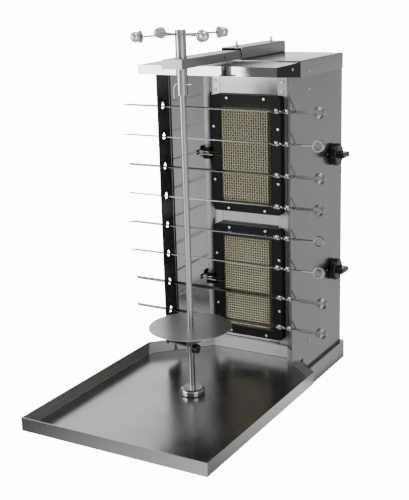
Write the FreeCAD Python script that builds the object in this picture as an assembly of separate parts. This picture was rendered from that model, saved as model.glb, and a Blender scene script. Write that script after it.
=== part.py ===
import FreeCAD, Part
import math
import os

# Gas doner kebab grill for a worktop, with two upright infrared burners, a turning spindle,
# a pull-out drip tray and eight side skewers. All sizes are in millimetres.
# +X is to the right, +Y to the back and +Z up. The origin is the middle of the plinth's
# footprint, on the worktop. The cook stands in front, on the -Y side.

V = FreeCAD.Vector

# Driving sizes: sheet metal
plinth_sheet = 1.5
panel_sheet = 1.2
tray_sheet = 1.2
burner_sheet = 1.5
mesh_sheet = 0.8
seam = 0.4
slide_gap = 0.3
running_gap = 0.05

# Driving sizes: plinth and feet
plinth_width = 364.0
plinth_depth = 704.0
deck_height = 50.0
plinth_bend = 3.0
plinth_flange = 30.0
foot_height = 3.0
foot_radius = 11.0

# Driving sizes: drip tray
tray_width = 460.0
tray_height = 32.0
tray_overhang = 108.0
tray_corner = 3.0
tray_hem = 15.0
tray_lip = 8.0
tray_wing_gap = 5.0
tray_rear_gap = 2.0

# Driving sizes: cabinet
cabinet_width = 350.0
cabinet_top = 795.0
cabinet_back_inset = 12.0
cabinet_depth = 297.0
ear_depth = 63.0
ear_above_tray = 3.0
ear_corner = 4.0
burner_wall_width = 204.0
wing_flange = 24.0
wing_root_flange = 44.0
rear_flange = 15.0
skirt_height = 38.0
cover_overlap = 13.0
cover_bend = 2.0
vent_width = 90.0
vent_height = 6.0
vent_pitch = 18.0
vents_in_column = 5

# Driving sizes: hood
hood_reach = 121.0
hood_step = 2.5
hood_fall = 4.0
hood_tuck = 8.0
hood_lip = 21.0
cheek_rise = 11.0

# Driving sizes: arm and its socket
socket_width = 54.0
socket_height = 28.0
socket_wall = 1.5
socket_length = 232.0
socket_set_back = 5.0
socket_corner = 3.0
arm_width = 50.0
arm_height = 20.0
arm_wall = 1.5
arm_rear_inset = 30.0
arm_beyond_spindle = 40.0
arm_slot_width = 8.0
arm_slot_height = 3.5
arm_slot_from_hood = 46.0
bush_wall = 2.5
clamp_bolt_radius = 2.5
clamp_head_across = 8.0
clamp_head_height = 4.0
clamp_nut_height = 4.0
clamp_stand_out = 11.0
clamp_inset = 25.0

# Driving sizes: spindle
spindle_from_hood = 98.0
rod_radius = 7.0
rod_hole_radius = 2.5
rod_hole_above_floor = 60.0
rod_hole_turn = -60.0
sleeve_radius = 12.0
sleeve_above_arm = 59.0
sleeve_below_arm = 58.0
sleeve_cap = 26.0
star_reach = 104.0
star_turn = -31.5
star_below_top = 10.0
spoke_radius = 2.0
spoke_socket = 3.5
ball_radius = 11.0
ball_disc_radius = 12.8
ball_disc_thickness = 2.0
ball_grip_depth = 8.0
pin_radius = 2.0
pin_above_sleeve_end = 23.0
pin_reach_right = 24.0
pin_slope_run = 18.0
pin_drop = 31.0
puck_radius = 28.5
puck_height = 15.0
puck_corner = 6.5
puck_foot = 2.5
puck_floor = 4.0

# Driving sizes: meat plate and its bracket
plate_radius = 95.0
plate_thickness = 2.0
plate_above_tray_floor = 164.8
collar_radius = 8.5
collar_length = 66.0
bracket_strip = 3.0
bracket_left = 40.0
bracket_depth = 54.0
bracket_drop = 35.0
bracket_turn = -11.0
bracket_bolt_radius = 2.5
bracket_bolt_length = 56.0
bracket_bolt_across = 8.0
bracket_bolt_inset = 10.0
thumb_shank_radius = 3.0
thumb_height = 15.0
thumb_flange_radius = 12.0
thumb_flange_thickness = 2.0
thumb_head_radius = 10.5
thumb_head_length = 8.0
thumb_lobes = 12
thumb_groove_radius = 1.4
thumb_groove_out = 0.6

# Driving sizes: burners
burner_width = 190.0
burner_height = 288.0
burner_depth = 18.0
burner_corner = 11.0
burner_low_gap = 46.0
burner_between = 34.0
burner_screw_inset = 8.0
burner_screw_run = 50.0
burner_screw_rise = 66.0
mesh_width = 140.0
mesh_height = 245.0
mesh_bulge = 7.0
mesh_slope = 6.0
mesh_rim = 5.0
tile_thickness = 12.0
tiles_per_burner = 3
tile_joint = 0.6
plenum_depth = 30.0
plenum_side_gap = 2.5
plenum_corner = 8.0
mixing_radius = 13.0
mixing_wall = 1.2
mixing_bend = 16.0
mixing_reach = 92.0
bell_radius = 18.0
bell_length = 12.0

# Driving sizes: gas taps, pipes and knobs
upper_tap_height = 554.0
lower_tap_height = 262.0
tap_from_back = 54.0
tap_radius = 14.0
tap_length = 42.0
tap_flange_thickness = 3.0
tap_boss_radius = 7.0
tap_boss_length = 20.0
plunger_radius = 6.0
plunger_length = 26.0
spindle_shaft_radius = 3.0
gas_pipe_radius = 4.0
gas_pipe_bend = 10.0
injector_radius = 7.0
injector_length = 14.0
manifold_radius = 8.0
manifold_from_tap = 25.0
manifold_bend = 18.0
inlet_height = 110.0
inlet_radius = 7.0
inlet_length = 34.0
knob_radius = 27.0
knob_gap = 4.0
knob_disc = 13.0
knob_reach = 35.0
knob_grip_thickness = 13.0
knob_grip_length = 42.0
knob_grip_corner = 5.0
knob_edge = 4.0

# Driving sizes: ignition sets at the burners' left edges
igniter_plate = 19.0
igniter_height = 28.0
igniter_thickness = 2.0
igniter_slot_depth = 5.0
probe_clearance = 2.0
probe_radius = 2.2
probe_tip_radius = 1.2
probe_tip_reach = 8.0
lead_radius = 2.0
bead_radius = 3.2
bead_length = 9.0
electrode_radius = 2.2
electrode_wire_radius = 0.9
electrode_wire_rise = 6.0

# Driving sizes: side skewers
skewer_count = 8
skewer_from_front = 25.0
skewer_pitch = 73.5
skewer_top = 685.0
blade_width = 11.0
blade_thickness = 2.0
blade_overhang = 113.0
blade_point = 14.0
twist_length = 48.5
twist_turn = 330.0
twist_steps = 11
neck_inside = 11.0
neck_outside = 2.5
neck_radius = 2.4
handle_width = 10.0
handle_thickness = 2.0
ring_reach = 57.0
ring_radius = 13.0
ring_wall = 2.0
skewer_shifts = (0.0, -1.0, 2.0, 0.0, 0.0, 0.0, 8.0, 7.0)
skewer_rolls = (8.0, 0.0, 10.0, -6.0, 3.0, -3.0, 12.0, 9.0)
skewer_handle_turns = (20.0, 0.0, 20.0, 28.0, 2.0, -5.0, 16.0, 20.0)
skewer_points_down = (1, 1, -1, -1, 1, 1, -1, -1)
slot_gap = 0.3
slot_rise = 28.0
hole_radius = 6.5
hole_peak = 11.0

# Driving sizes: screws
screw_radius = 3.6
screw_height = 1.8
screw_top_radius = 2.4
panel_screw_inset = 10.0
panel_screw_low = 36.0
panel_screw_high = 28.0
panel_screw_shift = 8.0
skirt_screw_drop = 25.5
skirt_screw_inset = 13.0
cheek_screw_inset = 6.0
plinth_screw_inset = 122.0
wall_screw_drops = (20.0, 42.0)

# Places that follow from the driving sizes
panel_x = cabinet_width / 2
cover_x = panel_x + panel_sheet
panel_back = plinth_depth / 2 - cabinet_back_inset
panel_front = panel_back - cabinet_depth
ear_back = panel_front + ear_depth
ear_bottom = deck_height + tray_height + ear_above_tray
inner_x = panel_x - panel_sheet
wall_x = burner_wall_width / 2
wall_y = ear_back + inner_x - wall_x
under_cover = cabinet_top - panel_sheet
skirt_bottom = cabinet_top - skirt_height
cover_front = ear_back - cover_overlap
hood_back = cover_front - seam
hood_front = cover_front - hood_reach
tray_front = -plinth_depth / 2 - tray_overhang
tray_floor = deck_height + tray_sheet
tray_top = deck_height + tray_height
tray_rear = wall_y - tray_rear_gap - tray_lip
tray_chamfer = ear_back + inner_x - tray_wing_gap * math.sqrt(2)
spindle_y = hood_front - spindle_from_hood
arm_bottom = cabinet_top + socket_wall + slide_gap
arm_top = arm_bottom + arm_height
arm_front = spindle_y - arm_beyond_spindle
socket_front = cover_front + socket_set_back
socket_back = socket_front + socket_length
arm_back = socket_back - arm_rear_inset
socket_top = cabinet_top + socket_height
clamp_top = socket_top + clamp_stand_out
sleeve_bottom = arm_bottom - sleeve_below_arm
sleeve_top = arm_top + sleeve_above_arm
sleeve_bore_top = sleeve_top - sleeve_cap
bush_bore = sleeve_radius + running_gap
bush_radius = bush_bore + bush_wall
star_height = sleeve_top - star_below_top
pin_height = sleeve_bottom + pin_above_sleeve_end
puck_bottom = tray_floor + slide_gap
puck_top = puck_bottom + puck_height
rod_bottom = puck_bottom + puck_floor + slide_gap
rod_top = sleeve_bore_top - seam
plate_top = tray_floor + plate_above_tray_floor
plate_bottom = plate_top - plate_thickness
collar_bottom = plate_bottom - collar_length
bracket_top = plate_bottom - bracket_drop
bracket_bottom = bracket_top - bracket_strip
thumb_axis = collar_bottom + thumb_height
thumb_seat = collar_radius + seam
bracket_right = thumb_seat + thumb_flange_thickness + bracket_strip
burner_front = wall_y - burner_depth
lower_burner = deck_height + burner_low_gap + burner_height / 2
upper_burner = lower_burner + burner_height + burner_between
mesh_back = burner_front + burner_sheet
tile_front = mesh_back + mesh_sheet + slide_gap
tile_back = tile_front + tile_thickness
plenum_front = tile_back + slide_gap
plenum_back = plenum_front + plenum_depth
plenum_x = wall_x - wing_flange - plenum_side_gap
plenum_z = mesh_height / 2 + mesh_rim
mixing_y = plenum_back + mixing_bend + seam
tap_y = panel_back - tap_from_back
tap_outer = inner_x
tap_inner = tap_outer - tap_flange_thickness - tap_length
tap_mid = tap_inner + tap_length / 2
manifold_y = tap_y + manifold_from_tap
injector_start = mixing_reach + bell_length / 2
knob_back = panel_x + knob_gap
knob_front = knob_back + knob_disc
probe_y = burner_front - mesh_bulge - probe_clearance - probe_tip_radius
skewer_y = panel_front + skewer_from_front
blade_tip_x = -panel_x - blade_overhang
twist_end_x = inner_x - neck_inside
twist_start_x = twist_end_x - twist_length
neck_end_x = panel_x + neck_outside
ring_centre_x = panel_x + ring_reach
handle_end_x = ring_centre_x - ring_radius + ring_wall / 2


def box(x0, x1, y0, y1, z0, z1):
    return Part.makeBox(x1 - x0, y1 - y0, z1 - z0, V(x0, y0, z0))


def cylinder(start, direction, radius, length):
    return Part.makeCylinder(radius, length, V(*start), V(*direction))


def outline_face(points, axis, level):
    """Flat face of an outline: (y, z) across x, (x, z) across y or (x, y) across z."""
    place = {"x": lambda a, b: V(level, a, b), "y": lambda a, b: V(a, level, b)}
    place["z"] = lambda a, b: V(a, b, level)
    corners = [place[axis](a, b) for a, b in points]
    return Part.Face(Part.makePolygon(corners + corners[:1]))


def prism(points, axis, low, high):
    """Straight solid of an outline, from low to high along axis."""
    along = {"x": V(1, 0, 0), "y": V(0, 1, 0), "z": V(0, 0, 1)}[axis]
    return outline_face(points, axis, low).extrude(along * (high - low))


def round_edges(shape, radius, choose):
    """Round every straight or curved edge that choose(edge) picks."""
    return shape.makeFillet(radius, [edge for edge in shape.Edges if choose(edge)])


def runs_along(axis):
    def choose(edge):
        step = edge.lastVertex().Point - edge.firstVertex().Point
        across = [abs(step.x), abs(step.y), abs(step.z)]
        along = across.pop("xyz".index(axis))
        return along > 1e-3 and max(across) < 1e-6
    return choose


def lies_at(axis, level):
    def choose(edge):
        low = getattr(edge.BoundBox, axis.upper() + "Min")
        high = getattr(edge.BoundBox, axis.upper() + "Max")
        return abs(low - level) < 1e-3 and abs(high - level) < 1e-3
    return choose


def inset_outline(points, distance):
    """The outline moved inward; the points run counter-clockwise and bulge outward."""
    moved = []
    for before, corner, after in zip(points[-1:] + points, points, points[1:] + points[:1]):
        normals = []
        for start, end in ((before, corner), (corner, after)):
            length = math.hypot(end[0] - start[0], end[1] - start[1])
            normals.append(((start[1] - end[1]) / length, (end[0] - start[0]) / length))
        (ax, ay), (bx, by) = normals
        scale = distance / (1 + ax * bx + ay * by)
        moved.append((corner[0] + (ax + bx) * scale, corner[1] + (ay + by) * scale))
    return moved


def folded_outline(points, thickness):
    """Outline of a sheet folded along points, with its thickness on the right of the path."""
    normals = []
    for start, end in zip(points, points[1:]):
        length = math.hypot(end[0] - start[0], end[1] - start[1])
        normals.append(((end[1] - start[1]) / length, (start[0] - end[0]) / length))
    far_side = []
    for index, (x, y) in enumerate(points):
        ax, ay = normals[max(index - 1, 0)]
        bx, by = normals[min(index, len(normals) - 1)]
        scale = thickness / (1 + ax * bx + ay * by)
        far_side.append((x + (ax + bx) * scale, y + (ay + by) * scale))
    return points + far_side[::-1]


def turned(profile, base, direction):
    """Solid of revolution of a closed list of (radius, height) about direction."""
    corners = [V(radius, 0, height) for radius, height in profile]
    face = Part.Face(Part.makePolygon(corners + corners[:1]))
    solid = face.revolve(V(0, 0, 0), V(0, 0, 1), 360)
    turn = FreeCAD.Rotation(V(0, 0, 1), V(*direction))
    solid.Placement = FreeCAD.Placement(V(*base), turn)
    return solid


def tube_path(points, bend):
    """Straight runs through the points, joined by tangent arcs of one radius."""
    corners = [V(*point) for point in points]
    start = corners[0]
    edges = []
    for before, corner, after in zip(corners, corners[1:], corners[2:]):
        arriving = (corner - before).normalize()
        leaving = (after - corner).normalize()
        half_turn = arriving.getAngle(leaving) / 2
        first = corner - arriving * (bend * math.tan(half_turn))
        last = corner + leaving * (bend * math.tan(half_turn))
        inward = (leaving - arriving).normalize()
        middle = corner + inward * (bend / math.cos(half_turn) - bend)
        edges.append(Part.LineSegment(start, first).toShape())
        edges.append(Part.Arc(first, middle, last).toShape())
        start = last
    edges.append(Part.LineSegment(start, corners[-1]).toShape())
    return Part.Wire(edges)


def bent_rod(points, bend, radius):
    path = tube_path(points, bend)
    direction = V(*points[1]) - V(*points[0])
    ring = Part.Wire([Part.makeCircle(radius, V(*points[0]), direction)])
    return path.makePipeShell([ring], True, False)


def hexagon(across, base, height):
    """Upright hexagonal prism of that size across its flats."""
    corner = across / math.sqrt(3)
    points = []
    for step in range(6):
        angle = math.radians(60 * step)
        points.append((base[0] + corner * math.cos(angle), base[1] + corner * math.sin(angle)))
    return prism(points, "z", base[2], base[2] + height)


def screw_head(place, direction):
    """Tapered head of a small screw, seated on the face at place."""
    profile = [(0, 0), (screw_radius, 0), (screw_top_radius, screw_height), (0, screw_height)]
    return turned(profile, place, direction)


def base_plinth():
    """Folded box, open below, with a return flange round its lower edge."""
    half_x = plinth_width / 2
    half_y = plinth_depth / 2
    outer = box(-half_x, half_x, -half_y, half_y, foot_height, deck_height)
    outer = round_edges(outer, plinth_bend, runs_along("z"))
    room_x = half_x - plinth_sheet
    room_y = half_y - plinth_sheet
    floor = foot_height + plinth_sheet
    room = box(-room_x, room_x, -room_y, room_y, floor, deck_height - plinth_sheet)
    mouth_x = half_x - plinth_flange
    mouth_y = half_y - plinth_flange
    mouth = box(-mouth_x, mouth_x, -mouth_y, mouth_y, foot_height, floor)
    return outer.cut(room.fuse(mouth))


def rubber_feet():
    """Four low pads under the corners of the plinth's return flange."""
    half_x = plinth_width / 2 - plinth_flange / 2
    half_y = plinth_depth / 2 - plinth_flange / 2
    profile = [(0, 0), (foot_radius - 1, 0), (foot_radius, foot_height), (0, foot_height)]
    feet = []
    for x in (-half_x, half_x):
        for y in (-half_y, half_y):
            feet.append(turned(profile, (x, y, 0), (0, 0, 1)))
    return Part.makeCompound(feet)


def tray_outline():
    half = tray_width / 2
    return [
        (-half, tray_front),
        (half, tray_front),
        (half, tray_chamfer - half),
        (tray_chamfer - tray_rear, tray_rear),
        (tray_rear - tray_chamfer, tray_rear),
        (-half, tray_chamfer - half),
    ]


def drip_tray():
    """Folded tray with cut-off rear corners, a hemmed rim and a lip at its rear wall."""
    outline = tray_outline()
    outer = prism(outline, "z", deck_height, tray_top)
    outer = round_edges(outer, tray_corner, lies_at("z", deck_height))
    inside = inset_outline(outline, tray_sheet)
    room = prism(inside, "z", tray_floor, tray_top)
    room = round_edges(room, tray_corner - tray_sheet, lies_at("z", tray_floor))
    hem = prism(inside, "z", tray_top - tray_hem, tray_top)
    hem = hem.cut(prism(inset_outline(outline, 2 * tray_sheet), "z", deck_height, tray_top))
    rear_x = tray_chamfer - tray_rear - tray_lip
    lip = box(-rear_x, rear_x, tray_rear, tray_rear + tray_lip, tray_top - tray_sheet, tray_top)
    return outer.cut(room).fuse([hem, lip]).removeSplitter()


def hood_under(y):
    """Height of the hood's underside at that depth."""
    share = (y - hood_front) / (hood_back - hood_front)
    return under_cover - hood_fall + (hood_fall - hood_step) * share


def side_panel_outline():
    return [
        (panel_front, ear_bottom),
        (ear_back, ear_bottom),
        (ear_back, deck_height),
        (panel_back, deck_height),
        (panel_back, under_cover),
        (cover_front, under_cover),
        (cover_front, hood_under(cover_front) - seam),
        (panel_front, hood_under(panel_front) - seam),
    ]


def skewer_heights():
    return [skewer_top - index * skewer_pitch for index in range(skewer_count)]


def left_side_panel():
    """Left wall with a row of drop-shaped holes that the blades pass through."""
    panel = prism(side_panel_outline(), "x", -panel_x, -inner_x)
    panel = round_edges(panel, ear_corner, is_ear_corner)
    half_angle = math.acos(hole_radius / hole_peak)
    side = hole_radius * math.sin(half_angle)
    rise = hole_radius * math.cos(half_angle)
    holes = []
    for height in skewer_heights():
        right = V(-panel_x, skewer_y + side, height + rise)
        bottom = V(-panel_x, skewer_y, height - hole_radius)
        left = V(-panel_x, skewer_y - side, height + rise)
        peak = V(-panel_x, skewer_y, height + hole_peak)
        edges = [Part.Arc(right, bottom, left).toShape()]
        edges.append(Part.LineSegment(left, peak).toShape())
        edges.append(Part.LineSegment(peak, right).toShape())
        holes.append(Part.Face(Part.Wire(edges)).extrude(V(panel_sheet, 0, 0)))
    return panel.cut(holes)


def is_ear_corner(edge):
    middle = edge.CenterOfMass
    at_ear = abs(middle.z - ear_bottom) < 1e-3 and abs(middle.y - panel_front) < 1e-3
    return runs_along("x")(edge) and at_ear


def right_side_panel():
    """Right wall with slanted slots that the skewers drop into, and the two tap holes."""
    panel = prism(side_panel_outline(), "x", inner_x, panel_x)
    panel = round_edges(panel, ear_corner, is_ear_corner)
    half = neck_radius + slot_gap
    run = skewer_from_front
    length = math.hypot(run, slot_rise)
    side_y = half * slot_rise / length
    side_z = half * run / length
    cuts = []
    for height in skewer_heights():
        mouth_y = skewer_y - 1.5 * run
        mouth_z = height + 1.5 * slot_rise
        points = [
            (skewer_y - side_y, height - side_z),
            (skewer_y + side_y, height + side_z),
            (mouth_y + side_y, mouth_z + side_z),
            (mouth_y - side_y, mouth_z - side_z),
        ]
        cuts.append(prism(points, "x", inner_x, panel_x))
        cuts.append(cylinder((inner_x, skewer_y, height), (1, 0, 0), half, panel_sheet))
    for height in (upper_tap_height, lower_tap_height):
        place = (inner_x, tap_y, height)
        cuts.append(cylinder(place, (1, 0, 0), plunger_radius + running_gap, panel_sheet))
    return panel.cut(cuts)


def rear_panel():
    """Back wall with forward flanges, two columns of vents and the gas inlet's hole."""
    path = [
        (-inner_x, panel_back - rear_flange),
        (-inner_x, panel_back),
        (inner_x, panel_back),
        (inner_x, panel_back - rear_flange),
    ]
    panel = prism(folded_outline(path, panel_sheet), "z", deck_height, under_cover)
    cuts = []
    for side in (-1, 1):
        middle = side * cabinet_width / 5
        for burner in (lower_burner, upper_burner):
            for row in range(vents_in_column):
                low = burner + (row - vents_in_column / 2) * vent_pitch
                left = middle - vent_width / 2
                right = middle + vent_width / 2
                cuts.append(box(left, right, panel_back - 5, panel_back + 5, low, low + vent_height))
    hole = cylinder((tap_mid, panel_back - 5, inlet_height), (0, 1, 0), inlet_radius + slide_gap, 10)
    return panel.cut(cuts + [hole])


def wing(side):
    """Slanted heat wall from the side panel to the burner wall, with a flange at each end."""
    path = [
        (inner_x, ear_back + wing_root_flange),
        (inner_x, ear_back),
        (wall_x, wall_y),
        (wall_x - wing_flange, wall_y),
    ]
    sheet = prism(folded_outline(path, panel_sheet), "z", deck_height, under_cover)
    if side > 0:
        return sheet
    sheet = sheet.mirror(V(0, 0, 0), V(1, 0, 0))
    holes = []
    for burner in (upper_burner, lower_burner):
        for drop in (electrode_offset(), probe_offset()):
            start = (wing_face_x(probe_y) - 8, probe_y, burner + drop)
            holes.append(cylinder(start, (1, 0, 0), lead_radius + slide_gap, 16))
    return sheet.cut(holes)


def electrode_offset():
    return bead_radius + slide_gap / 2


def probe_offset():
    return -bead_radius - slide_gap / 2


def burner_back_plate():
    """Flat wall between the wings, with a window for each burner's gas box."""
    half = wall_x - seam
    front = wall_y + panel_sheet
    plate = box(-half, half, front, front + panel_sheet, deck_height, under_cover)
    room_x = plenum_x + slide_gap
    room_z = plenum_z + slide_gap
    windows = []
    for burner in (upper_burner, lower_burner):
        low = burner - room_z
        high = burner + room_z
        windows.append(box(-room_x, room_x, front - 1, front + panel_sheet + 1, low, high))
    return plate.cut(windows)


def top_cover():
    """Lid of the cabinet, with a skirt on both sides and at the back."""
    back = panel_back + panel_sheet
    outer = box(-cover_x, cover_x, cover_front, back, skirt_bottom, cabinet_top)
    outer = round_edges(outer, cover_bend, cover_edge)
    room = box(-panel_x, panel_x, cover_front - 1, panel_back, skirt_bottom - 1, under_cover)
    return outer.cut(room)


def cover_edge(edge):
    if not (runs_along("y")(edge) or runs_along("x")(edge)):
        return False
    middle = edge.CenterOfMass
    at_front = abs(middle.y - cover_front) < 1e-3
    return abs(middle.z - cabinet_top) < 1e-3 and not at_front


def hood():
    """Visor in front of the cover: sloping top tucked under it, front lip and two cheeks."""
    top_front = cabinet_top - hood_fall
    lip_bottom = top_front - hood_lip
    cheek_back = lip_bottom - cheek_rise
    outline = [
        (hood_front, lip_bottom),
        (hood_back, cheek_back),
        (hood_back, cabinet_top - hood_step),
        (hood_front, top_front),
    ]
    outer = prism(outline, "x", -cover_x, cover_x)
    room_outline = [
        (hood_front + panel_sheet, cheek_back - 1),
        (hood_back + 1, cheek_back - 1),
        (hood_back + 1, hood_under(hood_back + 1)),
        (hood_front + panel_sheet, hood_under(hood_front + panel_sheet)),
    ]
    room = prism(room_outline, "x", -panel_x, panel_x)
    tuck_x = inner_x - seam
    tuck_top = cabinet_top - hood_step
    tuck = box(
        -tuck_x,
        tuck_x,
        hood_back - panel_sheet,
        cover_front + hood_tuck,
        tuck_top - panel_sheet,
        tuck_top,
    )
    return outer.cut(room).fuse(tuck)


def arm_socket():
    """Rectangular tube on the cover that holds the arm, with two nuts on its top."""
    half = socket_width / 2
    outer = box(-half, half, socket_front, socket_back, cabinet_top, socket_top)
    outer = round_edges(outer, socket_corner, runs_along("y"))
    room = box(
        -half + socket_wall,
        half - socket_wall,
        socket_front,
        socket_back,
        cabinet_top + socket_wall,
        socket_top - socket_wall,
    )
    room = round_edges(room, socket_corner - socket_wall, runs_along("y"))
    tube = outer.cut(room)
    for y in clamp_places():
        tube = tube.fuse(hexagon(clamp_head_across, (0, y, socket_top), clamp_nut_height))
        start = (0, y, socket_top - socket_height / 2)
        hole = cylinder(start, (0, 0, 1), clamp_bolt_radius + running_gap, socket_height)
        tube = tube.cut(hole)
    return tube


def clamp_places():
    return (socket_front + clamp_inset, socket_back - clamp_inset)


def clamp_bolt(y):
    """Hexagon bolt that presses on the arm from above."""
    bottom = arm_top + slide_gap
    head_bottom = clamp_top - clamp_head_height
    shank = cylinder((0, y, bottom), (0, 0, 1), clamp_bolt_radius, head_bottom - bottom)
    return shank.fuse(hexagon(clamp_head_across, (0, y, head_bottom), clamp_head_height))


def arm_tube():
    """Flat rectangular tube with a closed front end and the hole for the spindle's bush."""
    half = arm_width / 2
    outer = box(-half, half, arm_front, arm_back, arm_bottom, arm_top)
    outer = round_edges(outer, arm_wall, runs_along("y"))
    room = box(
        -half + arm_wall,
        half - arm_wall,
        arm_front + arm_wall,
        arm_back,
        arm_bottom + arm_wall,
        arm_top - arm_wall,
    )
    hole_start = (0, spindle_y, arm_bottom - 1)
    hole = cylinder(hole_start, (0, 0, 1), bush_radius + running_gap, arm_height + 2)
    slot_y = hood_front + arm_slot_from_hood
    slot_z = (arm_bottom + arm_top) / 2
    slot = box(
        half - 2 * arm_wall,
        half + 1,
        slot_y,
        slot_y + arm_slot_height,
        slot_z - arm_slot_width / 2,
        slot_z + arm_slot_width / 2,
    )
    return outer.cut([room, hole, slot])


def spindle_bush():
    start = (0, spindle_y, arm_bottom)
    outer = cylinder(start, (0, 0, 1), bush_radius, arm_height)
    return outer.cut(cylinder(start, (0, 0, 1), bush_bore, arm_height))


def foot_puck():
    """Round foot that stands on the tray floor and takes the lower end of the rod."""
    profile = [(0, 0), (puck_radius, 0), (puck_radius, puck_height), (0, puck_height)]
    puck = turned(profile, (0, spindle_y, puck_bottom), (0, 0, 1))
    puck = round_edges(puck, puck_corner, lies_at("z", puck_top))
    puck = round_edges(puck, puck_foot, lies_at("z", puck_bottom))
    start = (0, spindle_y, puck_bottom + puck_floor)
    return puck.cut(cylinder(start, (0, 0, 1), rod_radius + running_gap, puck_height))


def spindle_rod():
    """Long round rod, cross-drilled near its foot and for the locking pin."""
    rod = cylinder((0, spindle_y, rod_bottom), (0, 0, 1), rod_radius, rod_top - rod_bottom)
    angle = math.radians(rod_hole_turn)
    direction = (math.cos(angle), math.sin(angle), 0)
    reach = 2 * rod_radius
    height = tray_floor + rod_hole_above_floor
    start = (-reach * direction[0], spindle_y - reach * direction[1], height)
    lower = cylinder(start, direction, rod_hole_radius, 2 * reach)
    start = (-reach, spindle_y, pin_height)
    upper = cylinder(start, (1, 0, 0), pin_radius + running_gap, 2 * reach)
    return rod.cut([lower, upper])


def star_directions():
    angles = [math.radians(star_turn + 90 * step) for step in range(4)]
    return [(math.cos(angle), math.sin(angle), 0) for angle in angles]


def spindle_sleeve():
    """Sleeve that turns in the arm: the rod is pinned in its bore, the star sits on top."""
    length = sleeve_top - sleeve_bottom
    sleeve = cylinder((0, spindle_y, sleeve_bottom), (0, 0, 1), sleeve_radius, length)
    sleeve = round_edges(sleeve, 1.5, lies_at("z", sleeve_top))
    bore_radius = rod_radius + 2 * running_gap
    bore_length = sleeve_bore_top - sleeve_bottom
    cuts = [cylinder((0, spindle_y, sleeve_bottom), (0, 0, 1), bore_radius, bore_length)]
    start = (-2 * sleeve_radius, spindle_y, pin_height)
    cuts.append(cylinder(start, (1, 0, 0), pin_radius + running_gap, 4 * sleeve_radius))
    for direction in star_directions():
        inner = sleeve_radius - spoke_socket
        start = (inner * direction[0], spindle_y + inner * direction[1], star_height)
        cuts.append(cylinder(start, direction, spoke_radius + running_gap, 2 * spoke_socket))
    return sleeve.cut(cuts)


def star_handle():
    """Four spokes screwed into the sleeve."""
    inner = sleeve_radius - spoke_socket
    outer = star_reach - ball_radius + ball_grip_depth
    spokes = []
    for direction in star_directions():
        start = (inner * direction[0], spindle_y + inner * direction[1], star_height)
        spokes.append(cylinder(start, direction, spoke_radius, outer - inner))
    return Part.makeCompound(spokes)


def star_knobs():
    """Four ball grips, each with a thin disc in front of it."""
    knobs = []
    for direction in star_directions():
        centre = V(direction[0], direction[1], 0) * star_reach + V(0, spindle_y, star_height)
        ball = Part.makeSphere(ball_radius, centre)
        disc_at = star_reach - ball_radius - ball_disc_thickness / 2
        start = (disc_at * direction[0], spindle_y + disc_at * direction[1], star_height)
        disc = cylinder(start, direction, ball_disc_radius, ball_disc_thickness)
        bore = cylinder(start, direction, spoke_radius + running_gap, ball_grip_depth + 2)
        knobs.append(ball.fuse(disc).cut(bore))
    return Part.makeCompound(knobs)


def locking_pin():
    """Round pin through sleeve and rod, its left end bent down as a finger grip."""
    bend = 2 * pin_radius
    points = [
        (pin_reach_right, spindle_y, pin_height),
        (-sleeve_radius - bend / 2, spindle_y, pin_height),
        (-pin_slope_run - pin_radius, spindle_y, pin_height - 4 * pin_radius),
        (-pin_slope_run - pin_radius, spindle_y, pin_height - pin_drop),
    ]
    return bent_rod(points, bend, pin_radius)


def meat_plate():
    start = (0, spindle_y, plate_bottom)
    plate = cylinder(start, (0, 0, 1), plate_radius, plate_thickness)
    return plate.cut(cylinder(start, (0, 0, 1), rod_radius + 2 * running_gap, plate_thickness))


def plate_collar():
    """Tube under the plate that slides on the rod, drilled for the thumb screw."""
    start = (0, spindle_y, collar_bottom)
    collar = cylinder(start, (0, 0, 1), collar_radius, collar_length)
    bore = cylinder(start, (0, 0, 1), rod_radius + 2 * running_gap, collar_length)
    start = (rod_radius / 2, spindle_y, thumb_axis)
    side = cylinder(start, (1, 0, 0), thumb_shank_radius + running_gap, collar_radius)
    return collar.cut([bore, side])


def bracket_bolt_place():
    x = bracket_bolt_inset - bracket_left
    y = -bracket_depth / 2 + 3 * bracket_bolt_radius
    return x, y


def plate_bracket():
    """Folded strap that hangs under the plate and steadies the collar."""
    path = [
        (-bracket_left + bracket_strip, plate_bottom),
        (-bracket_left + bracket_strip, bracket_top),
        (bracket_right - bracket_strip, bracket_top),
        (bracket_right - bracket_strip, plate_bottom),
    ]
    half = bracket_depth / 2
    strap = prism(folded_outline(path, bracket_strip), "y", -half, half)
    collar_hole = cylinder((0, 0, bracket_bottom), (0, 0, 1), collar_radius, bracket_strip)
    x, y = bracket_bolt_place()
    start = (x, y, bracket_bottom)
    bolt_hole = cylinder(start, (0, 0, 1), bracket_bolt_radius + running_gap, bracket_strip)
    strap = strap.cut([collar_hole, bolt_hole])
    return turned_about_spindle(strap)


def turned_about_spindle(shape):
    """Turn a shape drawn about the origin with the bracket and set it on the spindle."""
    turn = FreeCAD.Rotation(V(0, 0, 1), bracket_turn)
    shape.Placement = FreeCAD.Placement(V(0, spindle_y, 0), turn)
    return shape


def bracket_bolt():
    """Long bolt with its nut, from the strap up to the plate."""
    x, y = bracket_bolt_place()
    bottom = plate_bottom - bracket_bolt_length
    shank = cylinder((x, y, bottom), (0, 0, 1), bracket_bolt_radius, bracket_bolt_length)
    nut = hexagon(bracket_bolt_across, (x, y, bottom), 2 * bracket_bolt_radius)
    return turned_about_spindle(shank.fuse(nut))


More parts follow.
